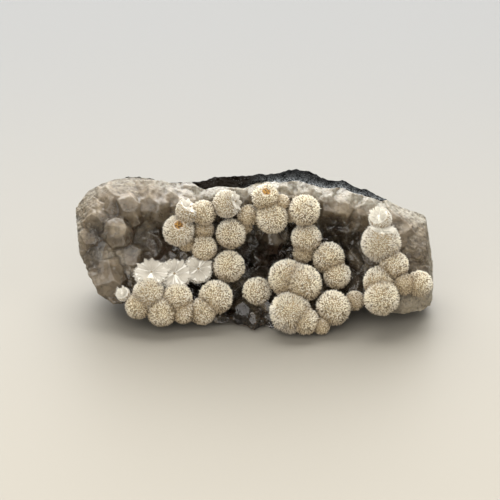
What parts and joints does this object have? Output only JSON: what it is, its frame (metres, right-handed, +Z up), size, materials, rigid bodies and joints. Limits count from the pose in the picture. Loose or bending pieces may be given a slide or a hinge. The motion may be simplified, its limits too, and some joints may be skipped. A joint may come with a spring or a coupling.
{
  "type": "amethyst on matrix",
  "caption": "Hand specimen: basalt block with a crust of smoky quartz and pale amethyst crystals, overgrown by cream balls of radiating needles, standing on a flat break.",
  "frame": {"origin": "middle of the footprint on the table", "axes": "+X along the specimen to the right as the crystal face is looked at, +Y from the face to the back, +Z up"},
  "size_m": [0.13, 0.0578, 0.0477],
  "materials": {
    "basalt": "rough broken",
    "quartz": "glassy, cloudy",
    "needles": "silky needles"
  },
  "bodies": {
    "root": {"basalt_matrix": "basalt", "quartz_crust": "quartz", "balls_lower_left_rim": "needles", "ball_lower_left_under": "needles", "ball_far_left": "needles", "balls_broken_pair": "needles", "ball_broken_single": "needles", "ball_left_lower": "needles", "balls_upper_left": "needles", "ball_top_left": "needles", "ball_left_upper": "needles", "ball_left_middle": "needles", "balls_top_middle": "needles", "ball_top_right": "needles", "balls_middle_right": "needles", "balls_right_of_middle": "needles", "balls_lower_right": "needles", "balls_lower_middle": "needles", "ball_middle_small": "needles", "balls_middle_pair": "needles", "ball_right_sheaf": "needles", "ball_right_large": "needles", "ball_right_end": "needles", "ball_right_middle": "needles", "balls_right_lower": "needles"}
  },
  "joints": []
}
